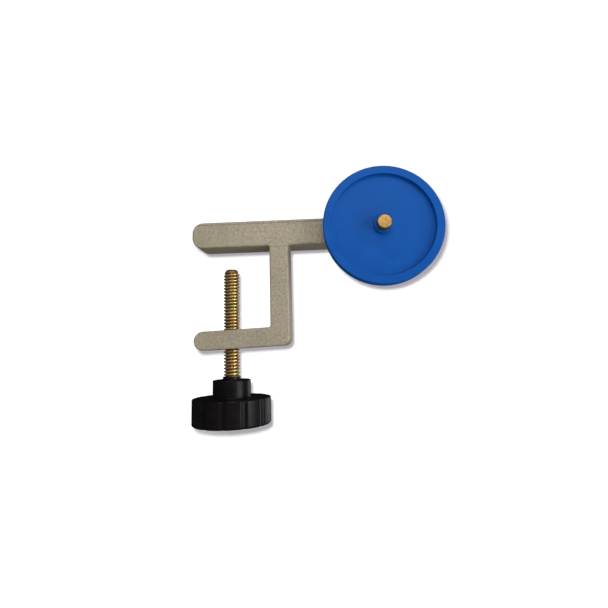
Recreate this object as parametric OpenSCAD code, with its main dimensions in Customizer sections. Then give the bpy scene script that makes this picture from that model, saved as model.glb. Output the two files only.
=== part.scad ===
// Bench-clamp pulley demonstrator.
// +Z is up in use, +X runs from the clamp's mouth to the pulley, and -Y is the pulley's side.
// The origin is on the upper jaw's underside, on the clamp screw's axis, at the frame's mid-depth.
// All sizes are in millimetres and degrees.

/* [Clamp frame] */
// Depth of the frame, front face to back face
frame_depth = 12.5; // [11:0.5:20]
// Height of the upper bar
bar_h = 10.4; // [9:0.1:14]
// Corner radius of the upper bar's left end
bar_end_r = 4.2; // [1:0.1:4.4]
// Reach of the upper jaw, from the screw axis to its left end
upper_jaw_len = 14.7; // [8:0.1:30]
// Reach of the lower arm, from the screw axis to its left end
lower_arm_len = 13.8; // [8:0.1:30]
// Height of the lower arm
arm_h = 7.4; // [6.5:0.1:12]
// Angle that the lower arm falls away from the upper jaw
arm_droop = 2; // [0:0.25:4]
// Width of the stem that joins the two arms
stem_w = 7.5; // [6.5:0.1:12]
// Depth of the throat, from the screw axis to the stem
throat_depth = 16.4; // [10:0.1:28]
// Opening of the throat at the stem, from the upper jaw to the lower arm
throat_h = 32.3; // [28:0.1:38]
// Radius of the frame's lower outer corner
corner_r = 3; // [0.5:0.1:3.2]
// Radius of the small fillets in the frame's inner corners
fillet_r = 0.8; // [0.3:0.1:2]

/* [Clamp screw] */
// Outside diameter of the thread
screw_d = 6.35; // [5:0.05:6.6]
// Pitch of the thread
pitch = 1.27; // [1.05:0.01:1.6]
// Depth of the thread
thread_depth = 0.81; // [0.5:0.01:1]
// Gap from the upper jaw to the screw's tip at rest
jaw_gap = 8.4; // [6:0.1:11]
// Gap from the lower arm to the knob at rest
knob_gap = 11.9; // [10:0.1:30]
// Length of screw inside the knob
screw_in = 11.2; // [8:0.1:12]
// Height of the plain band at the screw's tip
tip_h = 1.3; // [1:0.1:2]
// How far that band stands out from the thread's root
tip_out = 0.35; // [0.1:0.05:0.45]
// Height of the bevel on the band
tip_bevel_h = 0.9; // [0.2:0.1:0.9]
// Width of the bevel on the band
tip_bevel_w = 0.6; // [0.2:0.05:0.9]

/* [Knob] */
// Diameter of the knob's grip
knob_d = 30.5; // [26:0.5:40]
// Height of the knob's grip
knob_h = 10.4; // [8:0.1:16]
// Diameter of the knob's hub
hub_d = 14.8; // [12.6:0.1:20]
// Height of the knob's hub
hub_h = 6.7; // [5:0.1:12]
// Number of flutes round the grip
flutes = 12; // [4:1:14]
// Radius of each flute
flute_r = 1.2; // [1:0.1:2.4]
// Depth of each flute
flute_depth = 0.7; // [0.4:0.1:1.4]
// Radius of the grip's lower edge
grip_edge_r = 0.9; // [0.6:0.1:2.5]
// Radius of the grip's upper edge
grip_top_r = 0.5; // [0.2:0.1:1.2]
// Rise of the knob's domed end
dome_h = 0.3; // [0.2:0.1:1.5]
// Outside diameter of the threaded insert moulded in the knob
insert_d = 9; // [8:0.1:10]
// Depth of plastic that covers the insert
insert_cover = 1.4; // [0.8:0.1:3]
// Height of the small collar where the screw enters the hub
collar_h = 1.2; // [0.4:0.1:2]
// Wall of that collar
collar_wall = 0.3; // [0.2:0.05:0.8]

/* [Pulley wheel] */
// Outside diameter of the wheel
wheel_d = 46.6; // [40:0.1:60]
// Width of the wheel over its flanges
wheel_w = 5.8; // [5.4:0.1:9]
// Distance from the screw axis to the wheel's axle
axle_reach = 61.5; // [58:0.5:90]
// Radial width of the wheel's rim
rim_w = 3.3; // [3:0.1:6]
// Depth of the cord groove
groove_depth = 2.2; // [1:0.1:2.4]
// Width of the cord groove at its mouth
groove_w = 3.6; // [2.4:0.1:4.2]
// Width of the cord groove's flat floor
groove_floor_w = 1; // [0.6:0.1:1.8]
// Depth of the recess in the wheel's front face
recess_front = 1.8; // [1:0.1:2.2]
// Depth of the recess in the wheel's back face
recess_back = 1.2; // [0.6:0.1:1.8]
// Radius between the recess's floor and its wall
recess_fillet = 0.9; // [0.3:0.1:1]
// Diameter of the boss round the axle, on the front
boss_d = 7.4; // [6.4:0.1:12]
// Height of that boss above the recess's floor
boss_h = 1.5; // [0.2:0.1:1.8]
// Diameter of the hub round the axle, on the back
back_hub_d = 10; // [7:0.1:14]
// Chamfer on the wheel's outer edges
rim_chamfer = 0.35; // [0.1:0.05:0.5]

/* [Axle] */
// Diameter of the axle's head, which shows in front of the wheel
axle_head_d = 5.4; // [4.6:0.1:5.8]
// Height of the axle's head in front of the wheel's rim
axle_proud = 3.1; // [1:0.1:6]
// Chamfer on the axle's head
axle_chamfer = 0.25; // [0.2:0.05:0.8]
// Diameter of the axle's journal, which turns in the bush
journal_d = 4; // [3:0.1:4.2]
// Wall of the bush
bush_wall = 1; // [0.6:0.1:1.3]
// Thickness of the bush's flange
flange_t = 0.6; // [0.4:0.1:1]
// How far the bush's flange stands out from the bush
flange_out = 1.5; // [0.8:0.1:1.8]
// Thickness of each washer
washer_t = 0.5; // [0.3:0.1:1]
// Radial width of each washer
washer_w = 2; // [1:0.1:2.4]
// Thickness of the retaining clip
clip_t = 0.6; // [0.4:0.1:1]
// Radial width of the retaining clip
clip_w = 1.6; // [1.4:0.1:2]
// Depth of the clip's groove in the journal
clip_groove_depth = 0.45; // [0.3:0.05:0.6]
// Length of journal behind the clip
axle_tail = 0.8; // [0.5:0.1:2]
// Length of bar beyond the axle
bar_nose = 6.2; // [5.5:0.1:10]

/* [Fits] */
// Radial clearance of the screw in the lower arm
screw_clear = 0.08; // [0.05:0.01:0.1]
// Radial clearance of the journal in the bush
journal_clear = 0.04; // [0.02:0.01:0.08]
// Radial clearance of the insert in the knob and round the screw
insert_clear = 0.05; // [0.02:0.01:0.1]
// Radial clearance of pieces that are pressed together
press_clear = 0.01; // [0.01:0.01:0.03]
// Side clearance between pieces stacked on the axle
side_clear = 0.05; // [0.03:0.01:0.1]

/* [Hidden] */
$fn = 96;

// How far a cutting shape runs past the face it cuts
cut = 1;
// How far joined shapes run into each other
lap = 0.2;

// Thread: facets in each turn, and the turns over which its crest rises at each end
thread_fn = 20;
fade_turns = 0.75;
fade_start = 0.05;

// Clamp frame
bar_mid_z = bar_h / 2;
stem_x = throat_depth;
stem_outer_x = stem_x + stem_w;
arm_end_r = arm_h / 2;
arm_len = (throat_depth + lower_arm_len) / cos(arm_droop);
corner_x = stem_outer_x - corner_r;
corner_u = (corner_x - stem_x + (corner_r - arm_h) * sin(arm_droop)) / cos(arm_droop);
corner_z = corner_u * sin(arm_droop) + (corner_r - arm_h) * cos(arm_droop) - throat_h;
nose_r = min(bar_mid_z, bar_nose);

// Clamp screw and knob
screw_r = screw_d / 2;
root_r = screw_r - thread_depth;
tip_z = -jaw_gap;
band_r = root_r + tip_out;
arm_under_z = -throat_h - throat_depth * tan(arm_droop) - arm_h / cos(arm_droop);
knob_top_z = arm_under_z - knob_gap;
screw_end_z = knob_top_z - screw_in;
grip_top_z = knob_top_z - hub_h;
grip_end_z = grip_top_z - knob_h;
grip_r = knob_d / 2;
dome_r = (grip_r * grip_r + dome_h * dome_h) / (2 * dome_h);
insert_r = insert_d / 2;
insert_bore_r = screw_r + insert_clear;
insert_top_z = knob_top_z - insert_cover;
collar_r = insert_bore_r + collar_wall;
thread_turns = floor((tip_z - screw_end_z - 2 * tip_h) / pitch) - 1;
thread_base_z = tip_z - tip_h - (thread_turns + 1) * pitch;

// Wheel and axle
wheel_gap = flange_t + washer_t + 2 * side_clear;
wheel_back_y = -frame_depth / 2 - wheel_gap;
wheel_r = wheel_d / 2;
lip_r = wheel_r - rim_w;
head_r = axle_head_d / 2;
hub_bore_r = head_r + press_clear;
journal_r = journal_d / 2;
bush_bore_r = journal_r + journal_clear;
bush_r = bush_bore_r + bush_wall;
flange_r = bush_r + flange_out;
bar_bore_r = bush_r + press_clear;
rear_washer_y = frame_depth / 2 + side_clear;
clip_groove_y = rear_washer_y + washer_t;
clip_groove_w = clip_t + 2 * side_clear;
clip_groove_r = journal_r - clip_groove_depth;
clip_inner_r = clip_groove_r + press_clear;
clip_outer_r = journal_r + clip_w;
journal_end_y = clip_groove_y + clip_groove_w + axle_tail;

// Colours
paint = [0.64, 0.60, 0.53];
zinc = [0.62, 0.49, 0.25];
black = [0.09, 0.08, 0.08];
brass = [0.79, 0.63, 0.33];
bronze = [0.60, 0.42, 0.22];
blue = [0.11, 0.33, 0.64];
nylon = [0.90, 0.89, 0.84];
steel = [0.55, 0.56, 0.58];

// Puts a shape drawn about Z on the wheel's axle, with its own Z=0 at y and its +Z to the front
module on_axle(y = 0) {
    translate([axle_reach, y, bar_mid_z])
        rotate([90, 0, 0])
            children();
}

// A plain ring on the axle, from y towards the back
module axle_ring(inner_r, outer_r, thick, y) {
    on_axle(y + thick)
        difference() {
            cylinder(r = outer_r, h = thick);
            translate([0, 0, -cut])
                cylinder(r = inner_r, h = thick + 2 * cut);
        }
}

// The material that fills an inner corner at the origin, between +X and +Y
module inner_fillet(r) {
    difference() {
        translate([-lap, -lap])
            square(r + lap);
        translate([r, r])
            circle(r);
    }
}

// Outline of the upper bar, seen from the front
module bar_outline() {
    translate([bar_end_r - upper_jaw_len, 0])
        square([upper_jaw_len - bar_end_r + axle_reach + bar_nose - nose_r, bar_h]);
    translate([-upper_jaw_len, bar_end_r])
        square([upper_jaw_len, bar_h - 2 * bar_end_r]);
    for (z = [bar_end_r, bar_h - bar_end_r])
        translate([bar_end_r - upper_jaw_len, z])
            circle(bar_end_r);
    translate([axle_reach + bar_nose - nose_r, bar_mid_z])
        circle(nose_r);
}

// Outline of the lower arm, drawn from the inner corner with its top along X
module arm_outline() {
    translate([arm_end_r - arm_len, -arm_h])
        square([arm_len - arm_end_r + corner_u, arm_h]);
    translate([arm_end_r - arm_len, -arm_end_r])
        circle(arm_end_r);
    mirror([1, 0])
        inner_fillet(fillet_r);
}

// Outline of the whole frame, seen from the front
module frame_outline() {
    bar_outline();
    translate([stem_x, corner_z])
        square([stem_w, lap - corner_z]);
    translate([corner_x, corner_z])
        circle(corner_r);
    translate([stem_x, -throat_h])
        rotate(arm_droop)
            arm_outline();
    translate([stem_x, 0])
        rotate(180)
            inner_fillet(fillet_r);
    translate([stem_outer_x, 0])
        mirror([0, 1])
            inner_fillet(fillet_r);
}

module clamp_frame() {
    color(paint)
        difference() {
            translate([0, frame_depth / 2, 0])
                rotate([90, 0, 0])
                    linear_extrude(frame_depth)
                        frame_outline();
            translate([0, 0, arm_under_z - cut])
                cylinder(r = screw_r + screw_clear, h = arm_h / cos(arm_droop) + 2 * cut);
            on_axle(frame_depth / 2 + cut)
                cylinder(r = bar_bore_r, h = frame_depth + 2 * cut);
        }
}

// A point at an angle counted in thread facets
function ring_point(r, k, z) = [r * cos(360 * k / thread_fn), r * sin(360 * k / thread_fn), z];

// Height of the thread's root after k facets
function root_z(k) = thread_base_z + pitch * k / thread_fn;

// Radius of the thread's crest, which fades into the core at both ends
function crest_r(k) =
    let (last = thread_turns * thread_fn)
    let (run = min(k, last - k) / (fade_turns * thread_fn))
    root_r + thread_depth * min(1, max(fade_start, run));

// The screw is one closed skin: two plain ends, the thread's root and the thread's crest
module threaded_rod() {
    n = thread_fn;
    crests = thread_turns * n;
    roots = crests + n;
    low = 0;
    root = low + 2 * n;
    crest = root + roots + 1;
    high = crest + crests + 1;
    points = concat(
        [for (j = [0:n - 1]) ring_point(root_r, j, screw_end_z)],
        [for (j = [0:n - 1]) ring_point(root_r, j, thread_base_z - tip_h / 2)],
        [for (k = [0:roots]) ring_point(root_r, k, root_z(k))],
        [for (k = [0:crests]) ring_point(crest_r(k), k, root_z(k) + pitch / 2)],
        [for (j = [0:n - 1]) ring_point(band_r, j, tip_z - tip_bevel_h)],
        [for (j = [0:n - 1]) ring_point(band_r - tip_bevel_w, j, tip_z)]
    );
    faces = concat(
        [[for (j = [0:n - 1]) low + j]],
        [for (j = [0:n - 1])
            [low + j, low + n + j, low + n + (j + 1) % n, low + (j + 1) % n]],
        [for (j = [0:n - 2])
            [low + n + j, root + j, root + j + 1, low + n + j + 1]],
        [[low + 2 * n - 1, root + n - 1, root + n, root, low + n]],
        [[root, root + n, crest]],
        [for (k = [0:crests - 1])
            [root + k, crest + k, crest + k + 1, root + k + 1]],
        [for (k = [0:crests - 1])
            [crest + k, root + n + k, root + n + k + 1, crest + k + 1]],
        [[root + crests, crest + crests, root + roots]],
        [[root + crests, root + roots, high, high + 1, root + crests + 1]],
        [for (j = [1:n - 1])
            [root + crests + j, high + j, high + (j + 1) % n, root + crests + j + 1]],
        [for (j = [0:n - 1])
            [high + j, high + n + j, high + n + (j + 1) % n, high + (j + 1) % n]],
        [[for (j = [n - 1:-1:0]) high + n + j]]
    );
    polyhedron(points, faces);
}

module clamp_screw() {
    color(zinc)
        threaded_rod();
}

// Half outline of the knob, with its axis along Y
module knob_profile() {
    translate([0, grip_top_z - lap])
        square([hub_d / 2, hub_h + lap]);
    translate([0, knob_top_z - lap])
        square([collar_r, collar_h + lap]);
    intersection() {
        grip_profile();
        translate([0, grip_end_z + dome_r])
            circle(dome_r, $fn = 360);
    }
}

// Half outline of the grip, with rounded upper and lower edges
module grip_profile() {
    translate([0, grip_end_z])
        square([grip_r - grip_edge_r, knob_h]);
    translate([0, grip_end_z + grip_edge_r])
        square([grip_r, knob_h - grip_edge_r - grip_top_r]);
    translate([grip_r - grip_edge_r, grip_end_z + grip_edge_r])
        circle(grip_edge_r);
    translate([0, grip_top_z - grip_top_r - lap])
        square([grip_r - grip_top_r, grip_top_r + lap]);
    translate([grip_r - grip_top_r, grip_top_z - grip_top_r])
        circle(grip_top_r);
}

module knob() {
    color(black)
        difference() {
            rotate_extrude()
                intersection() {
                    knob_profile();
                    translate([0, grip_end_z - cut])
                        square([grip_r + cut, knob_h + hub_h + collar_h + 2 * cut]);
                }
            translate([0, 0, screw_end_z - side_clear])
                cylinder(r = insert_bore_r, h = side_clear + screw_in + collar_h + cut);
            translate([0, 0, screw_end_z - side_clear])
                cylinder(r = insert_r + insert_clear, h = screw_in - insert_cover + 2 * side_clear);
            for (i = [0:flutes - 1])
                rotate(i * 360 / flutes)
                    translate([grip_r - flute_depth + flute_r, 0, grip_end_z - cut])
                        cylinder(r = flute_r, h = knob_h + 2 * cut);
        }
}

module knob_insert() {
    color(brass)
        translate([0, 0, screw_end_z])
            difference() {
                cylinder(r = insert_r, h = screw_in - insert_cover);
                translate([0, 0, -cut])
                    cylinder(r = insert_bore_r, h = screw_in + 2 * cut);
            }
}

// Half section of a recess in the wheel: depth deep, its mouth at z = 0 and open towards +Y
module recess_profile(inner_r, depth) {
    translate([inner_r, recess_fillet - depth])
        square([lip_r - inner_r, depth - recess_fillet + cut]);
    translate([inner_r, -depth])
        square([lip_r - inner_r - recess_fillet, depth + cut]);
    translate([lip_r - recess_fillet, recess_fillet - depth])
        circle(recess_fillet);
}

// Half section of the wheel's blank, with chamfered outer edges
module blank_profile() {
    polygon([
        [hub_bore_r, 0],
        [wheel_r - rim_chamfer, 0],
        [wheel_r, rim_chamfer],
        [wheel_r, wheel_w - rim_chamfer],
        [wheel_r - rim_chamfer, wheel_w],
        [hub_bore_r, wheel_w]
    ]);
}

// Section of the cord groove, which a cord of up to its width runs in
module groove_profile() {
    slope = (groove_w - groove_floor_w) / 2 / groove_depth;
    mouth = groove_w / 2 + slope * cut;
    polygon([
        [wheel_r - groove_depth, wheel_w / 2 - groove_floor_w / 2],
        [wheel_r + cut, wheel_w / 2 - mouth],
        [wheel_r + cut, wheel_w / 2 + mouth],
        [wheel_r - groove_depth, wheel_w / 2 + groove_floor_w / 2]
    ]);
}

module pulley_wheel() {
    color(blue)
        on_axle(wheel_back_y)
            rotate_extrude($fn = 180)
                difference() {
                    blank_profile();
                    groove_profile();
                    translate([0, wheel_w])
                        recess_profile(boss_d / 2, recess_front);
                    mirror([0, 1])
                        recess_profile(back_hub_d / 2, recess_back);
                    translate([0, wheel_w - recess_front + boss_h])
                        square([boss_d / 2 + lap, recess_front + cut]);
                }
}

module axle_pin() {
    head_len = wheel_w + axle_proud;
    color(brass) {
        on_axle(wheel_back_y) {
            cylinder(r = head_r, h = head_len - axle_chamfer);
            translate([0, 0, head_len - axle_chamfer])
                cylinder(r1 = head_r, r2 = head_r - axle_chamfer, h = axle_chamfer);
        }
        on_axle(clip_groove_y)
            cylinder(r = journal_r, h = clip_groove_y - wheel_back_y + lap);
        on_axle(journal_end_y)
            cylinder(r = clip_groove_r, h = journal_end_y - clip_groove_y + lap);
        on_axle(journal_end_y)
            cylinder(r = journal_r, h = axle_tail);
    }
}

module axle_bush() {
    color(bronze)
        difference() {
            union() {
                on_axle(frame_depth / 2)
                    cylinder(r = bush_r, h = frame_depth + flange_t);
                on_axle(-frame_depth / 2)
                    cylinder(r = flange_r, h = flange_t);
            }
            on_axle(frame_depth / 2 + cut)
                cylinder(r = bush_bore_r, h = frame_depth + flange_t + 2 * cut);
        }
}

module front_washer() {
    color(nylon)
        axle_ring(bush_bore_r, journal_r + washer_w, washer_t, wheel_back_y + side_clear);
}

module rear_washer() {
    color(steel)
        axle_ring(bush_bore_r, journal_r + washer_w, washer_t, rear_washer_y);
}

// Clip with three inward lobes, open at the bottom
module clip_outline() {
    lobe_w = clip_groove_r;
    gap = journal_r - clip_groove_r;
    difference() {
        circle(clip_outer_r);
        circle(journal_r + gap);
        translate([-clip_groove_r, -clip_outer_r - cut])
            square([2 * clip_groove_r, clip_outer_r + cut]);
    }
    difference() {
        union() {
            translate([-clip_outer_r + clip_w / 2, -lobe_w / 2])
                square([2 * clip_outer_r - clip_w, lobe_w]);
            translate([-lobe_w / 2, 0])
                square([lobe_w, clip_outer_r - clip_w / 2]);
        }
        circle(clip_inner_r);
    }
}

module retaining_clip() {
    color(steel)
        on_axle(clip_groove_y + side_clear + clip_t)
            linear_extrude(clip_t)
                clip_outline();
}

clamp_frame();
clamp_screw();
knob();
knob_insert();
pulley_wheel();
axle_pin();
axle_bush();
front_washer();
rear_washer();
retaining_clip();
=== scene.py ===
"""The looks of a bench-clamp pulley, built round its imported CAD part.

Lengths are in millimetres and angles in degrees until a mesh, lamp or camera is made.
The axes are the part's own: +Z up, +X from the clamp's mouth to the pulley, -Y the pulley's side.
"""
import math

import bmesh
import bpy
from mathutils import Matrix, Vector


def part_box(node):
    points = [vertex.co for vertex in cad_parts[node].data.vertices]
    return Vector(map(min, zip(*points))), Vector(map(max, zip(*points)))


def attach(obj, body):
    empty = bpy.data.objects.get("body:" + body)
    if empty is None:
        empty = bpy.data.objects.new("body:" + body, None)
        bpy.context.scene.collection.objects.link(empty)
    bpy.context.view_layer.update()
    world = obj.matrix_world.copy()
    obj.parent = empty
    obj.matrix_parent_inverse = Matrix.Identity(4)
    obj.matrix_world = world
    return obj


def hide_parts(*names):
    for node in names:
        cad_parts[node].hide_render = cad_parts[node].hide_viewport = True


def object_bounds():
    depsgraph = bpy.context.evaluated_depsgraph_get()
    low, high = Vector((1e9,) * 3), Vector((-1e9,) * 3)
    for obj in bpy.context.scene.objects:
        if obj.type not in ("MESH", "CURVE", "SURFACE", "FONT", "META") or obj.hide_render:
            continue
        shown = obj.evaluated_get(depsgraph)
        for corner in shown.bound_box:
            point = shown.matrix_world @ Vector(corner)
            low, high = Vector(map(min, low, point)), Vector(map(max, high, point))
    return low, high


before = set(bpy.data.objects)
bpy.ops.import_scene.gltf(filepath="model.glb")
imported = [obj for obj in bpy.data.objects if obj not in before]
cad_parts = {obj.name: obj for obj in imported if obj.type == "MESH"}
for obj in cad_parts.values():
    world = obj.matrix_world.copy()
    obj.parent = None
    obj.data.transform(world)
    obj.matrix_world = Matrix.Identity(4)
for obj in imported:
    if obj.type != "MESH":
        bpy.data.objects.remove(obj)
cad_low, cad_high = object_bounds()

MM = 0.001
MERGE_MM = 1e-3
SAME_POINT_MM = 1e-4


# ---------------------------------------------------------------- sizes from the frame

def box_mm(node):
    """The lowest and highest corner of a CAD node, in millimetres."""
    low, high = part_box(node)
    return low / MM, high / MM


FRAME_LOW, FRAME_HIGH = box_mm("clamp_frame")
SCREW_LOW, SCREW_HIGH = box_mm("clamp_screw")
KNOB_LOW, KNOB_HIGH = box_mm("knob")
INSERT_LOW, INSERT_HIGH = box_mm("knob_insert")
WHEEL_LOW, WHEEL_HIGH = box_mm("pulley_wheel")
PIN_LOW, PIN_HIGH = box_mm("axle_pin")
BUSH_LOW, BUSH_HIGH = box_mm("axle_bush")
WASHER_HIGH = box_mm("rear_washer")[1]

AXLE_X = (WHEEL_LOW.x + WHEEL_HIGH.x) / 2
AXLE_Z = (WHEEL_LOW.z + WHEEL_HIGH.z) / 2


# ---------------------------------------------------------------- mesh tools

def make_object(name, mesh_bm):
    """An object from a bmesh in millimetres, with merged points and outward faces."""
    bmesh.ops.remove_doubles(mesh_bm, verts=mesh_bm.verts, dist=MERGE_MM)
    bmesh.ops.dissolve_degenerate(mesh_bm, edges=mesh_bm.edges, dist=MERGE_MM)
    bmesh.ops.recalc_face_normals(mesh_bm, faces=mesh_bm.faces)
    bmesh.ops.scale(mesh_bm, vec=(MM, MM, MM), verts=mesh_bm.verts)
    mesh = bpy.data.meshes.new(name)
    mesh_bm.to_mesh(mesh)
    mesh_bm.free()
    mesh.shade_smooth()
    obj = bpy.data.objects.new(name, mesh)
    bpy.context.scene.collection.objects.link(obj)
    return obj


def skin(name, rings, seam_shift=0, joined=False):
    """Quads between rings that all have as many points.

    A ring with all its points in one place closes to a tip. seam_shift joins each ring's last point
    to the first point of the ring that many further on, as a helix does. joined runs from the last
    ring back to the first.
    """
    mesh_bm = bmesh.new()
    rows = [[mesh_bm.verts.new(point) for point in ring] for ring in rings]
    last = len(rows) - 1
    count = len(rows[0])
    for j in range(len(rows) if joined else last):
        low, high = rows[j], rows[(j + 1) % len(rows)]
        for i in range(count - 1):
            mesh_bm.faces.new((low[i], low[i + 1], high[i + 1], high[i]))
        seam_low = rows[min(j + seam_shift, last)] if seam_shift else low
        seam_high = rows[min(j + 1 + seam_shift, last)] if seam_shift else high
        if seam_low[0] is not seam_high[0]:
            mesh_bm.faces.new((low[-1], seam_low[0], seam_high[0], high[-1]))
        else:
            mesh_bm.faces.new((low[-1], seam_low[0], high[-1]))
    return make_object(name, mesh_bm)


def rounded(corners, closed=True, step=9):
    """The outline through (x, y, radius) corners, with a round corner of that radius at each."""
    outline = []
    for i, (x, y, radius) in enumerate(corners):
        here = Vector((x, y))
        at_end = not closed and i in (0, len(corners) - 1)
        if radius == 0 or at_end:
            outline.append(here)
            continue
        to_last = (Vector(corners[i - 1][:2]) - here).normalized()
        to_next = (Vector(corners[(i + 1) % len(corners)][:2]) - here).normalized()
        half = to_last.angle(to_next) / 2
        centre = here + (to_last + to_next).normalized() * radius / math.sin(half)
        start = here + to_last * radius / math.tan(half) - centre
        end = here + to_next * radius / math.tan(half) - centre
        start_angle = math.atan2(start.y, start.x)
        turn = (math.atan2(end.y, end.x) - start_angle + math.pi) % (2 * math.pi) - math.pi
        count = max(2, round(abs(math.degrees(turn)) / step))
        for k in range(count + 1):
            angle = start_angle + turn * k / count
            point = centre + Vector((math.cos(angle), math.sin(angle))) * radius
            if not outline or (point - outline[-1]).length > SAME_POINT_MM:
                outline.append(point)
    if closed and (outline[0] - outline[-1]).length < SAME_POINT_MM:
        outline.pop()
    return outline


def lathe(name, outline, segments, place, joined=False):
    """The (radius, height) outline turned about an axis.

    place gives the point in the part's frame for one across, up and along the axis.
    """
    turns = [2 * math.pi * i / segments for i in range(segments)]
    rings = [
        [place(radius * math.cos(turn), radius * math.sin(turn), height) for turn in turns]
        for radius, height in outline
    ]
    return skin(name, rings, joined=joined)


def on_axle(across, up, y):
    return (AXLE_X + across, y, AXLE_Z + up)


def on_screw(x, y, z):
    return (x, y, z)


def outward_normals(outline):
    """The outward unit normal at each point of a closed outline that runs anticlockwise."""
    normals = []
    for i, here in enumerate(outline):
        last_step = (here - outline[i - 1]).normalized()
        next_step = (outline[(i + 1) % len(outline)] - here).normalized()
        along = last_step + next_step
        normals.append(Vector((along.y, -along.x)).normalized())
    return normals


def plate(name, outline, y_front, y_back, edge_r, steps=5):
    """The (x, z) outline as a plate from y_front to y_back, its front and back edges rounded."""
    normals = outward_normals(outline)
    quarter = [math.pi / 2 * k / steps for k in range(steps + 1)]
    bends = [(edge_r * (1 - math.sin(a)), edge_r * (1 - math.cos(a))) for a in quarter]
    levels = [(y_front + rise, inset) for rise, inset in reversed(bends)]
    levels += [(y_back - rise, inset) for rise, inset in bends]
    mesh_bm = bmesh.new()
    rows = []
    for y, inset in levels:
        points = [point - normal * inset for point, normal in zip(outline, normals)]
        rows.append([mesh_bm.verts.new((point.x, y, point.y)) for point in points])
    for low, high in zip(rows, rows[1:]):
        for i in range(len(low)):
            mesh_bm.faces.new((low[i - 1], low[i], high[i], high[i - 1]))
    mesh_bm.faces.new(rows[0])
    mesh_bm.faces.new(reversed(rows[-1]))
    return make_object(name, mesh_bm)


def bar_cutter(name, low, high):
    """A block between two corners, to cut with."""
    mesh_bm = bmesh.new()
    bmesh.ops.create_cube(mesh_bm, size=1)
    low, high = Vector(low), Vector(high)
    bmesh.ops.scale(mesh_bm, vec=high - low, verts=mesh_bm.verts)
    bmesh.ops.translate(mesh_bm, vec=(high + low) / 2, verts=mesh_bm.verts)
    return make_object(name, mesh_bm)


def bake_modifiers(obj):
    """Puts the mesh that the modifiers make in place of the object's own."""
    graph = bpy.context.evaluated_depsgraph_get()
    made = bpy.data.meshes.new_from_object(obj.evaluated_get(graph))
    obj.modifiers.clear()
    obj.data = made


def drill(obj, cutters):
    """Cuts each cutter out of the object."""
    for cutter in cutters:
        cut = obj.modifiers.new("cut", "BOOLEAN")
        cut.operation = "DIFFERENCE"
        cut.solver = "EXACT"
        cut.object = cutter
    bake_modifiers(obj)
    for cutter in cutters:
        bpy.data.objects.remove(cutter)


def even_normals(obj):
    """Keeps wide flats looking flat beside their rounded edges."""
    weighted = obj.modifiers.new("even normals", "WEIGHTED_NORMAL")
    weighted.keep_sharp = True
    weighted.weight = 90


# ---------------------------------------------------------------- material tools

def srgb(red, green, blue):
    """A colour seen on a screen, as the linear colour that a shader takes."""
    linear = []
    for value in (red, green, blue):
        share = value / 255
        linear.append(share / 12.92 if share <= 0.04045 else ((share + 0.055) / 1.055) ** 2.4)
    return (*linear, 1.0)


class Shader:
    """A material's nodes, with short calls for the ones used here."""

    def __init__(self, name, roughness, metallic=0.0, specular=0.5):
        self.material = bpy.data.materials.new(name)
        self.material.use_nodes = True
        self.nodes = self.material.node_tree.nodes
        self.links = self.material.node_tree.links
        self.surface = self.nodes["Principled BSDF"]
        self.surface.inputs["Roughness"].default_value = roughness
        self.surface.inputs["Metallic"].default_value = metallic
        self.surface.inputs["Specular IOR Level"].default_value = specular
        self.place = self.nodes.new("ShaderNodeTexCoord").outputs["Object"]

    def link(self, output, socket):
        self.links.new(output, socket)

    def stretched(self, x, y, z):
        """The object's coordinates, stretched by these factors."""
        mapping = self.nodes.new("ShaderNodeMapping")
        mapping.inputs["Scale"].default_value = (x, y, z)
        self.link(self.place, mapping.inputs["Vector"])
        return mapping.outputs["Vector"]

    def noise(self, grain_mm, detail=2.0, rough=0.5, place=None, distortion=0.0):
        """Noise whose features are about grain_mm across."""
        node = self.nodes.new("ShaderNodeTexNoise")
        node.inputs["Scale"].default_value = 1 / (grain_mm * MM)
        node.inputs["Detail"].default_value = detail
        node.inputs["Roughness"].default_value = rough
        node.inputs["Distortion"].default_value = distortion
        self.link(place or self.place, node.inputs["Vector"])
        return node.outputs["Fac"]

    def ramp(self, value, stops):
        """Colours at the (position, colour) stops, picked by value."""
        node = self.nodes.new("ShaderNodeValToRGB")
        points = node.color_ramp.elements
        while len(points) < len(stops):
            points.new(0.5)
        for point, (position, colour) in zip(points, stops):
            point.position = position
            point.color = colour
        self.link(value, node.inputs["Fac"])
        return node.outputs["Color"]

    def mix(self, share, first, second, how="MIX"):
        """A blend of two colours; share and the colours are outputs or plain values."""
        node = self.nodes.new("ShaderNodeMix")
        node.data_type = "RGBA"
        node.blend_type = how
        sockets = (node.inputs[0], node.inputs[6], node.inputs[7])
        for value, socket in zip((share, first, second), sockets):
            if isinstance(value, bpy.types.NodeSocket):
                self.link(value, socket)
            else:
                socket.default_value = value
        return node.outputs[2]

    def span(self, value, low, high, start=0.3, end=0.7):
        """Value from start to end, as a number from low to high."""
        node = self.nodes.new("ShaderNodeMapRange")
        node.inputs["From Min"].default_value = start
        node.inputs["From Max"].default_value = end
        node.inputs["To Min"].default_value = low
        node.inputs["To Max"].default_value = high
        self.link(value, node.inputs["Value"])
        return node.outputs["Result"]

    def bump(self, *layers):
        """Bumps from (height, depth_mm) layers, one on another."""
        normal = None
        for height, depth_mm in layers:
            node = self.nodes.new("ShaderNodeBump")
            node.inputs["Strength"].default_value = 1.0
            node.inputs["Distance"].default_value = depth_mm * MM
            self.link(height, node.inputs["Height"])
            if normal is not None:
                self.link(normal, node.inputs["Normal"])
            normal = node.outputs["Normal"]
        self.link(normal, self.surface.inputs["Normal"])

    def colour(self, output):
        self.link(output, self.surface.inputs["Base Color"])

    def gloss(self, output):
        self.link(output, self.surface.inputs["Roughness"])


# ---------------------------------------------------------------- materials

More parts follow.
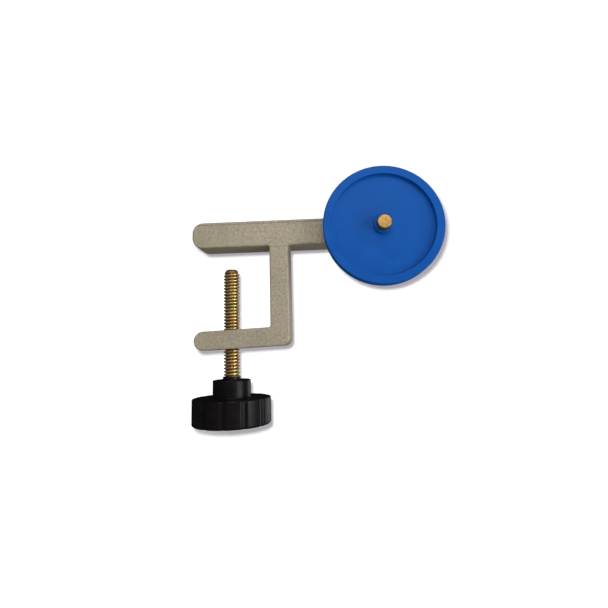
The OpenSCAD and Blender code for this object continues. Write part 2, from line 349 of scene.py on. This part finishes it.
def frame_paint():
    """Warm silver paint over a casting: a fine mottle, soft clouds and a slight orange peel."""
    shader = Shader("frame_paint", 0.5, metallic=0.15)
    cloud = shader.noise(9, detail=3)
    speck = shader.noise(0.9, detail=3, rough=0.6)
    base = shader.ramp(cloud, [(0.3, srgb(161, 151, 130)), (0.7, srgb(172, 161, 140))])
    dark = shader.mix(shader.span(speck, 0.0, 0.75, 0.45, 0.75), base, srgb(122, 110, 88))
    shader.colour(shader.mix(shader.span(speck, 0.45, 0.0, 0.25, 0.42), dark, srgb(200, 192, 176)))
    shader.gloss(shader.span(speck, 0.42, 0.6))
    shader.bump((cloud, 0.15), (speck, 0.05), (shader.noise(0.35), 0.012))
    return shader.material


def yellow_zinc():
    """Yellow passivated plate: gold that drifts to olive and rose, with painted shade in the
    thread's roots.
    """
    shader = Shader("yellow_zinc", 0.28, metallic=0.8)
    drift = shader.noise(4.5, detail=2, place=shader.stretched(1, 1, 0.7), distortion=0.4)
    tint = shader.ramp(drift, [
        (0.30, srgb(214, 198, 126)),
        (0.42, srgb(242, 214, 140)),
        (0.52, srgb(242, 206, 132)),
        (0.62, srgb(234, 178, 128)),
        (0.72, srgb(246, 216, 146)),
    ])
    grime = shader.noise(0.6, detail=3)
    worn = shader.mix(shader.span(grime, 0.0, 0.3, 0.5, 0.75), tint, srgb(110, 88, 56))
    # Painted shade: the colour darkens towards the axis, in the thread's roots, where shade falls
    # between the crests.
    from_axis = shader.nodes.new("ShaderNodeVectorMath")
    from_axis.operation = "LENGTH"
    shader.link(shader.stretched(1, 1, 0), from_axis.inputs[0])
    root_r, crest_r = 2.4, 3.05
    root_shade = shader.span(from_axis.outputs["Value"], 0.8, 0.0, root_r * MM, crest_r * MM)
    shader.colour(shader.mix(root_shade, worn, srgb(52, 38, 20)))
    shader.gloss(shader.span(grime, 0.23, 0.33))
    shader.bump((shader.noise(0.3), 0.008),)
    return shader.material


def black_plastic():
    """Moulded black plastic with a fine grain and a dull bloom."""
    shader = Shader("black_plastic", 0.4, specular=0.17)
    bloom = shader.noise(5, detail=3)
    shader.colour(shader.ramp(bloom, [(0.3, srgb(13, 10, 10)), (0.7, srgb(20, 17, 17))]))
    shader.gloss(shader.span(bloom, 0.3, 0.4))
    shader.bump((shader.noise(2.2), 0.03), (shader.noise(0.35, detail=3), 0.008))
    return shader.material


def blue_plastic():
    """Moulded blue plastic, satin, with faint flow marks."""
    shader = Shader("blue_plastic", 0.45, specular=0.09)
    flow = shader.noise(7, detail=3, distortion=0.3)
    shader.colour(shader.ramp(flow, [(0.3, srgb(5, 77, 157)), (0.7, srgb(13, 83, 164))]))
    shader.gloss(shader.span(flow, 0.36, 0.48))
    shader.bump((shader.noise(3), 0.025), (shader.noise(0.4, detail=3), 0.006))
    return shader.material


def turned_metal(name, light, dark, roughness, ring_mm=0.22):
    """Turned metal: fine rings about the axle, and a little tarnish."""
    shader = Shader(name, roughness, metallic=1.0)
    centred = shader.nodes.new("ShaderNodeMapping")
    centred.inputs["Location"].default_value = (-AXLE_X * MM, 0, -AXLE_Z * MM)
    shader.link(shader.place, centred.inputs["Vector"])
    rings = shader.nodes.new("ShaderNodeTexWave")
    rings.wave_type = "RINGS"
    rings.rings_direction = "Y"
    rings.inputs["Scale"].default_value = 0.3 / (ring_mm * MM)
    rings.inputs["Distortion"].default_value = 1.5
    rings.inputs["Detail"].default_value = 2
    rings.inputs["Detail Scale"].default_value = 3
    shader.link(centred.outputs["Vector"], rings.inputs["Vector"])
    tarnish = shader.noise(1.1, detail=4)
    shader.colour(shader.ramp(tarnish, [(0.35, dark), (0.6, light)]))
    shader.gloss(shader.span(tarnish, roughness + 0.08, roughness - 0.06))
    shader.bump((rings.outputs["Fac"], 0.004), (tarnish, 0.006))
    return shader.material


def white_nylon():
    """Plain nylon, slightly yellowed."""
    shader = Shader("white_nylon", 0.5)
    cloud = shader.noise(1.5, detail=2)
    shader.colour(shader.ramp(cloud, [(0.3, srgb(222, 219, 205)), (0.7, srgb(234, 232, 222))]))
    shader.bump((shader.noise(0.3), 0.005),)
    return shader.material


PAINT = frame_paint()
ZINC = yellow_zinc()
BLACK = black_plastic()
BLUE = blue_plastic()
BRASS = turned_metal("turned_brass", srgb(194, 156, 90), srgb(177, 139, 77), 0.45)
BRONZE = turned_metal("bearing_bronze", srgb(176, 128, 78), srgb(134, 92, 54), 0.36)
STEEL = turned_metal("plain_steel", srgb(176, 178, 182), srgb(138, 139, 142), 0.3)
NYLON = white_nylon()


# ---------------------------------------------------------------- pieces

def finish_piece(obj, node, body, material):
    """Dresses a piece and puts it in its CAD node's place."""
    obj.data.materials.clear()
    obj.data.materials.append(material)
    even_normals(obj)
    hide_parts(node)
    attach(obj, body)
    return obj


def clamp_frame():
    """The casting: upper bar, stem and drooping lower arm, all edges rounded.

    A fine line runs along the front of the bar, near its top edge.
    """
    bar_end_r, corner_r, fillet_r, edge_r = 4.2, 3.0, 0.8, 0.65
    stem_x, stem_w = 16.4, 7.5
    throat_h, arm_h, arm_reach, droop = 32.3, 7.4, 13.8, math.radians(2)
    arm_len = (stem_x + arm_reach) / math.cos(droop)
    nose_r = FRAME_HIGH.z / 2

    def arm_point(u, w):
        return (
            stem_x + u * math.cos(droop) - w * math.sin(droop),
            -throat_h + u * math.sin(droop) + w * math.cos(droop),
        )

    outer_x = stem_x + stem_w
    outer_u = (stem_w - arm_h * math.sin(droop)) / math.cos(droop)
    outline = rounded([
        (FRAME_LOW.x, 0, bar_end_r),
        (stem_x, 0, fillet_r),
        (stem_x, -throat_h, fillet_r),
        (*arm_point(-arm_len, 0), arm_h / 2),
        (*arm_point(-arm_len, -arm_h), arm_h / 2),
        (*arm_point(outer_u, -arm_h), corner_r),
        (outer_x, 0, fillet_r),
        (FRAME_HIGH.x, 0, nose_r),
        (FRAME_HIGH.x, FRAME_HIGH.z, nose_r),
        (FRAME_LOW.x, FRAME_HIGH.z, bar_end_r),
    ])
    body = plate("frame_casting", outline, FRAME_LOW.y, FRAME_HIGH.y, edge_r)

    past = 1
    screw_hole_r, mouth_w, mouth_depth, mouth_rise = 3.27, 2.4, 0.4, 2
    arm_top, arm_bottom = arm_point(-stem_x, 0)[1], arm_point(-stem_x, -arm_h)[1]
    screw_cutter = lathe("screw_cutter", [
        (0, arm_top + mouth_rise),
        (screw_hole_r + mouth_w, arm_top + mouth_rise),
        (screw_hole_r, arm_top - mouth_depth),
        (screw_hole_r, arm_bottom + mouth_depth),
        (screw_hole_r + mouth_w, arm_bottom - mouth_rise),
        (0, arm_bottom - mouth_rise),
    ], 72, on_screw)
    flange_w, bush_gap = 1.5, 0.01
    bush_r = (BUSH_HIGH.x - BUSH_LOW.x) / 2 - flange_w + bush_gap
    axle_cutter = lathe("axle_cutter", [
        (0, FRAME_LOW.y - past),
        (bush_r, FRAME_LOW.y - past),
        (bush_r, FRAME_HIGH.y + past),
        (0, FRAME_HIGH.y + past),
    ], 72, on_axle)
    line_drop, line_w, line_depth = 1.15, 0.3, 0.22
    line_z = FRAME_HIGH.z - line_drop
    line_start, line_end = FRAME_LOW.x + 2.6, FRAME_HIGH.x - 4
    line_cutter = bar_cutter(
        "line_cutter",
        (line_start, FRAME_LOW.y - past, line_z - line_w / 2),
        (line_end, FRAME_LOW.y + line_depth, line_z + line_w / 2),
    )
    drill(body, [screw_cutter, axle_cutter, line_cutter])
    finish_piece(body, "clamp_frame", "frame", PAINT)


def clamp_screw():
    """The clamp screw: a right-hand V thread with a flat crest, run out into a bevelled tip."""
    pitch, thread_depth = 1.27, 0.81
    crest_share, root_share = 0.24, 0.12
    columns, rows_per_turn = 72, 20
    top, bottom = SCREW_HIGH.z, SCREW_LOW.z
    crest_r = (SCREW_HIGH.x - SCREW_LOW.x) / 2
    root_r = crest_r - thread_depth
    face_r, band_r = root_r - 0.25, root_r + 0.35
    bevel_h, band_h, band_run, run_out = 0.9, 1.3, 0.35, 1.0
    band_end = top - band_h + band_run
    tip_slope = 3
    left_crest = top - band_h - pitch

    def thread_r(z, turn):
        """The thread's radius where turn is counted from the screw's left side."""
        phase = abs(((z - left_crest) / pitch - turn + 0.5) % 1 - 0.5) * 2
        rise = (1 - phase - root_share) / (1 - crest_share - root_share)
        return root_r + thread_depth * min(1, max(0, rise))

    def radius(z, turn):
        if z > top:
            return max(0, face_r - tip_slope * (z - top))
        if z < bottom:
            return max(0, face_r - tip_slope * (bottom - z))
        bevel = face_r + (band_r - face_r) * (top - z) / bevel_h
        lower_bevel = face_r + (band_r - face_r) * (z - bottom) / bevel_h
        band = band_r if z > band_end else 0
        allowed = band_r + (crest_r - band_r) * min(1, max(0, (band_end - z) / run_out))
        return min(bevel, lower_bevel, max(band, min(thread_r(z, turn), allowed)))

    spare = face_r / tip_slope + pitch
    first = bottom - spare - pitch
    rows = math.ceil((top + spare - first) / pitch * rows_per_turn)
    rings = []
    for j in range(rows + 1):
        ring = []
        for i in range(columns):
            turn = i / columns
            z = first + pitch * (j / rows_per_turn + turn)
            angle = math.pi + 2 * math.pi * turn
            r = radius(z, turn)
            z_shown = min(top, max(bottom, z))
            ring.append((r * math.cos(angle), r * math.sin(angle), z_shown))
        rings.append(ring)
    screw = skin("threaded_rod", rings, seam_shift=rows_per_turn)
    finish_piece(screw, "clamp_screw", "screw", ZINC)


def knob():
    """The knob: a plain hub over a grip with twelve soft flutes and a slightly domed end."""
    flutes, flute_depth, flute_half_w = 12, 0.42, 1.6
    columns = flutes * 60
    grip_r = 15.25
    hub_h, hub_r = 6.7, 7.4
    collar_h, collar_r, hole_r = 1.2, 3.5, 3.25
    edge_r, top_r, dome = 0.9, 0.5, 0.3
    top_steps, edge_steps, dome_steps = 5, 7, 8
    gap = 0.05
    end = KNOB_LOW.z
    hub_top = KNOB_HIGH.z - collar_h
    grip_top = hub_top - hub_h
    pocket_r = (INSERT_HIGH.x - INSERT_LOW.x) / 2 + gap
    pocket_end, pocket_top = INSERT_LOW.z - gap, INSERT_HIGH.z + gap

    def grip_radius(turn):
        """The grip's radius, less the flute that is nearest."""
        off = (turn * flutes + 0.5) % 1 - 0.5
        along = abs(off) / flutes * 2 * math.pi * grip_r
        if along >= flute_half_w:
            return grip_r
        return grip_r - flute_depth * math.cos(math.pi / 2 * along / flute_half_w) ** 2

    inside = [
        (0, pocket_end),
        (pocket_r, pocket_end),
        (pocket_r, pocket_top),
        (hole_r, pocket_top),
    ]
    hub = rounded([
        (hole_r, pocket_top, 0),
        (hole_r, KNOB_HIGH.z, 0.1),
        (collar_r, KNOB_HIGH.z, 0.12),
        (collar_r, hub_top, 0.2),
        (hub_r, hub_top, 0.45),
        (hub_r, grip_top, 0.35),
        (grip_r, grip_top, 0),
    ], closed=False)[1:-1]
    rings = []
    for radius, z in inside + [tuple(point) for point in hub]:
        rings.append([(radius, z)] * columns)
    hub_foot = hub[-1].x
    rims = [grip_radius(i / columns) for i in range(columns)]
    for k in range(1, top_steps + 1):
        share = k / top_steps
        rings.append([(hub_foot + (rim - top_r - hub_foot) * share, grip_top) for rim in rims])
    for k in range(1, top_steps + 1):
        bend = math.pi / 2 * k / top_steps
        inset, drop = top_r * (1 - math.sin(bend)), top_r * (1 - math.cos(bend))
        rings.append([(rim - inset, grip_top - drop) for rim in rims])
    dome_at_edge = dome * ((grip_r - edge_r) / grip_r) ** 2
    for k in range(edge_steps + 1):
        bend = math.pi / 2 * k / edge_steps
        inset, rise = edge_r * (1 - math.cos(bend)), edge_r * (1 - math.sin(bend))
        rings.append([(rim - inset, end + dome_at_edge + rise) for rim in rims])
    for k in range(1, dome_steps + 1):
        share = 1 - k / dome_steps
        rings.append([
            ((rim - edge_r) * share, end + dome_at_edge * share ** 2)
            for rim in rims
        ])
    turns = [2 * math.pi * i / columns for i in range(columns)]
    placed = [
        [(r * math.cos(turn), r * math.sin(turn), z) for (r, z), turn in zip(ring, turns)]
        for ring in rings
    ]
    made = skin("fluted_knob", placed)
    finish_piece(made, "knob", "screw", BLACK)


def pulley_wheel():
    """The wheel: a grooved rim round a thin web, recessed on both faces, with a hub."""
    back, front = WHEEL_HIGH.y, WHEEL_LOW.y
    wheel_r = (WHEEL_HIGH.x - WHEEL_LOW.x) / 2
    width = back - front
    rim_w, groove_depth, bore_gap = 3.3, 2.2, 0.01
    lip_r, groove_r = wheel_r - rim_w, wheel_r - groove_depth
    mouth_half, floor_half = 1.8, 0.5
    bore_r = (PIN_HIGH.x - PIN_LOW.x) / 2 + bore_gap
    front_recess, floor_back, boss_set_back = 1.8, 1.2, 0.3
    floor_front, boss_top = width - front_recess, width - boss_set_back
    boss_r, back_hub_r = 3.7, 5.0
    corners = [
        (bore_r, 0, 0.1),
        (back_hub_r, 0, 0.3),
        (back_hub_r, floor_back, 0.4),
        (lip_r, floor_back, 0.9),
        (lip_r, 0, 0.3),
        (wheel_r, 0, 0.4),
        (wheel_r, width / 2 - mouth_half, 0.3),
        (groove_r, width / 2 - floor_half, 0.45),
        (groove_r, width / 2 + floor_half, 0.45),
        (wheel_r, width / 2 + mouth_half, 0.3),
        (wheel_r, width, 0.45),
        (lip_r, width, 0.35),
        (lip_r, floor_front, 0.95),
        (boss_r, floor_front, 0.3),
        (boss_r, boss_top, 0.2),
        (bore_r, boss_top, 0.05),
    ]
    outline = [(radius, back - height) for radius, height in rounded(corners)]
    wheel = lathe("grooved_wheel", outline, 288, on_axle, joined=True)
    finish_piece(wheel, "pulley_wheel", "wheel", BLUE)


def axle_pin():
    """The axle: a bevelled head, a slimmer journal and the clip's groove near its tail."""
    head_r = (PIN_HIGH.x - PIN_LOW.x) / 2
    journal_r, groove_r = 2.0, 1.55
    bevel, groove_w = 0.2, 0.7
    groove_front = WASHER_HIGH.y
    groove_back = groove_front + groove_w
    outline = rounded([
        (0, PIN_LOW.y, 0),
        (head_r - bevel, PIN_LOW.y, 0.06),
        (head_r, PIN_LOW.y + bevel, 0.1),
        (head_r, WHEEL_HIGH.y, 0.05),
        (journal_r, WHEEL_HIGH.y, 0),
        (journal_r, groove_front, 0.05),
        (groove_r, groove_front, 0),
        (groove_r, groove_back, 0),
        (journal_r, groove_back, 0.05),
        (journal_r, PIN_HIGH.y, 0.25),
        (0, PIN_HIGH.y, 0),
    ], closed=False)
    pin = lathe("brass_axle", outline, 96, on_axle)
    finish_piece(pin, "axle_pin", "wheel", BRASS)


def dress(node, material):
    """Gives a CAD node that is shown as it is a better material."""
    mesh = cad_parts[node].data
    mesh.materials.clear()
    mesh.materials.append(material)


clamp_frame()
clamp_screw()
knob()
pulley_wheel()
axle_pin()
dress("knob_insert", BRASS)
dress("axle_bush", BRONZE)
dress("front_washer", NYLON)
dress("rear_washer", STEEL)
dress("retaining_clip", STEEL)


# ---------------------------------------------------------------- camera, lamps and backdrop

def add_camera():
    """The camera of the photograph: below the bar, in front of the stem, and rolled a little."""
    data = bpy.data.cameras.new("camera")
    data.sensor_width = 36
    data.lens = 26.03
    data.shift_x, data.shift_y = -0.0176, -0.0480
    data.clip_start = 0.005
    camera = bpy.data.objects.new("camera", data)
    bpy.context.scene.collection.objects.link(camera)
    place = Vector((40.76, -176.40, -40.26)) * MM
    aim = Vector((33.87, 3.60, -10.94)) * MM
    roll = math.radians(-1.79)
    turn = (aim - place).to_track_quat("-Z", "Y").to_matrix().to_4x4()
    camera.matrix_world = Matrix.Translation(place) @ turn @ Matrix.Rotation(roll, 4, "Z")
    bpy.context.scene.camera = camera


def add_lamp(name, place, level, size, aim=(35, 0, -20)):
    """A square soft box that gives a white card, facing it at its aim, this level of white."""
    start, end = Vector(place) * MM, Vector(aim) * MM
    data = bpy.data.lights.new(name, "AREA")
    data.shape = "SQUARE"
    data.size = size * MM
    data.energy = level * (math.pi * (end - start).length) ** 2
    lamp = bpy.data.objects.new(name, data)
    bpy.context.scene.collection.objects.link(lamp)
    turn = (end - start).to_track_quat("-Z", "Y").to_matrix().to_4x4()
    lamp.matrix_world = Matrix.Translation(start) @ turn
    return lamp


def add_world(toward, dark, light, gloss_share):
    """A white background for the camera. Other rays see a grey room that is lightest on one side."""
    world = bpy.data.worlds.new("room")
    world.use_nodes = True
    nodes, links = world.node_tree.nodes, world.node_tree.links
    background = nodes["Background"]
    seen = nodes.new("ShaderNodeLightPath")
    direction = nodes.new("ShaderNodeTexCoord")
    facing = nodes.new("ShaderNodeVectorMath")
    facing.operation = "DOT_PRODUCT"
    facing.inputs[1].default_value = Vector(toward).normalized()
    links.new(direction.outputs["Generated"], facing.inputs[0])
    room = nodes.new("ShaderNodeMapRange")
    room.inputs["From Min"].default_value = -1
    room.inputs["From Max"].default_value = 1
    room.inputs["To Min"].default_value = dark
    room.inputs["To Max"].default_value = light
    links.new(facing.outputs["Value"], room.inputs["Value"])
    dim = nodes.new("ShaderNodeMath")
    dim.operation = "MULTIPLY"
    dim.inputs[1].default_value = gloss_share
    links.new(room.outputs["Result"], dim.inputs[0])
    gloss = nodes.new("ShaderNodeMix")
    gloss.data_type = "FLOAT"
    links.new(seen.outputs["Is Glossy Ray"], gloss.inputs["Factor"])
    links.new(room.outputs["Result"], gloss.inputs["A"])
    links.new(dim.outputs["Value"], gloss.inputs["B"])
    level = nodes.new("ShaderNodeMix")
    level.data_type = "FLOAT"
    level.inputs["B"].default_value = 1.0
    links.new(seen.outputs["Is Camera Ray"], level.inputs["Factor"])
    links.new(gloss.outputs["Result"], level.inputs["A"])
    background.inputs["Color"].default_value = (1, 1, 1, 1)
    links.new(level.outputs["Result"], background.inputs["Strength"])
    bpy.context.scene.world = world


def add_backdrop(object_lamps):
    """A white sheet close behind the part.

    A lamp of its own, near the camera, gives it the part's soft shadow. Well away from the part it
    glows white by itself.
    """
    reach, gap = 1200, 100
    glow_start, glow_full = 112, 198
    # Painted light: near the part the sheet glows a faint mauve that shows only in its shadow and
    # tints it; from glow_start to glow_full the glow rises to white.
    paper_grey, shadow_tint_glow = 0.8, (0.012, 0.0, 0.025)
    y = cad_high.y / MM + gap
    centre = Vector((30, y, 2))
    mesh_bm = bmesh.new()
    corners = [(-reach, y, -reach), (reach, y, -reach), (reach, y, reach), (-reach, y, reach)]
    mesh_bm.faces.new([mesh_bm.verts.new(corner) for corner in corners])
    sheet = make_object("backdrop", mesh_bm)
    if sheet.data.polygons[0].normal.y > 0:
        sheet.data.flip_normals()
    material = bpy.data.materials.new("white_sheet")
    material.use_nodes = True
    nodes, links = material.node_tree.nodes, material.node_tree.links
    nodes.clear()
    paper = nodes.new("ShaderNodeBsdfDiffuse")
    paper.inputs["Color"].default_value = (paper_grey, paper_grey, paper_grey, 1)
    glow = nodes.new("ShaderNodeEmission")
    place = nodes.new("ShaderNodeTexCoord")
    away = nodes.new("ShaderNodeVectorMath")
    away.operation = "DISTANCE"
    away.inputs[1].default_value = centre * MM
    links.new(place.outputs["Object"], away.inputs[0])
    far = nodes.new("ShaderNodeMapRange")
    far.inputs["From Min"].default_value = glow_start * MM
    far.inputs["From Max"].default_value = glow_full * MM
    links.new(away.outputs["Value"], far.inputs["Value"])
    tone = nodes.new("ShaderNodeMix")
    tone.data_type = "RGBA"
    tone.inputs[6].default_value = (*shadow_tint_glow, 1)
    tone.inputs[7].default_value = (1, 1, 1, 1)
    links.new(far.outputs["Result"], tone.inputs[0])
    links.new(tone.outputs[2], glow.inputs["Color"])
    both = nodes.new("ShaderNodeAddShader")
    links.new(paper.outputs["BSDF"], both.inputs[0])
    links.new(glow.outputs["Emission"], both.inputs[1])
    clear = nodes.new("ShaderNodeBsdfTransparent")
    side = nodes.new("ShaderNodeNewGeometry")
    choose = nodes.new("ShaderNodeMixShader")
    links.new(side.outputs["Backfacing"], choose.inputs["Fac"])
    links.new(both.outputs["Shader"], choose.inputs[1])
    links.new(clear.outputs["BSDF"], choose.inputs[2])
    output = nodes.new("ShaderNodeOutputMaterial")
    links.new(choose.outputs["Shader"], output.inputs["Surface"])
    sheet.data.materials.append(material)
    sheet.visible_diffuse = False
    sheet.visible_glossy = False
    sheet.visible_shadow = False

    only_sheet = bpy.data.collections.new("lit_sheet")
    only_sheet.objects.link(sheet)
    not_sheet = bpy.data.collections.new("unlit_sheet")
    not_sheet.objects.link(sheet)
    not_sheet.collection_objects[0].light_linking.link_state = "EXCLUDE"
    for lamp in object_lamps:
        lamp.light_linking.receiver_collection = not_sheet
    shadow_lamp = add_lamp("sheet_lamp", (38.3, -176.4, -36.0), 1.12, 4, aim=centre)
    shadow_lamp.light_linking.receiver_collection = only_sheet


bpy.context.scene.view_settings.view_transform = "Standard"
add_camera()
add_world(toward=(0.42, -0.82, -0.38), dark=0.04, light=0.66, gloss_share=0.2)
lamps = [
    add_lamp("front_top", (70, -370, 230), 0.36, 260),
    add_lamp("right", (470, -265, -20), 0.55, 280, aim=(60, 0, 5)),
    add_lamp("right_behind", (285, 330, -60), 0.12, 230),
]
add_backdrop(lamps)
